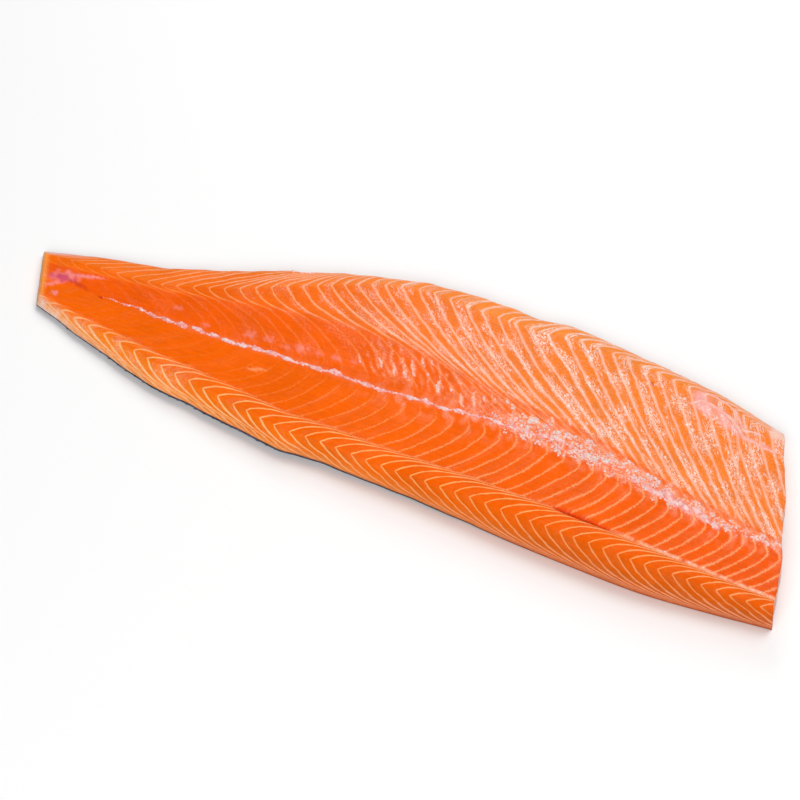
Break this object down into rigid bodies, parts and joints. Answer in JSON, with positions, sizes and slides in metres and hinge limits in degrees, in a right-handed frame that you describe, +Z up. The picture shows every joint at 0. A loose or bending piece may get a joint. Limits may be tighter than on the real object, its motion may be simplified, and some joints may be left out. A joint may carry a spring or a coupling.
{
  "type": "raw salmon fillet",
  "caption": "Whole raw salmon side lying on its skin, orange flesh up, with pale chevron fat lines, a backbone line and thin belly flap.",
  "frame": {"origin": "on the surface that the fillet lies on, under the middle of its outline", "axes": "+X along the fillet from the tail cut to the head cut, +Y from the back to the belly, +Z up from the skin to the flesh"},
  "size_m": [0.6078, 0.191, 0.0284],
  "materials": {
    "flesh": "wet, with pale fat lines",
    "skin": "wet, scaled, dark back to silver belly"
  },
  "bodies": {
    "root": {"flesh": "flesh", "skin": "skin"}
  },
  "joints": []
}
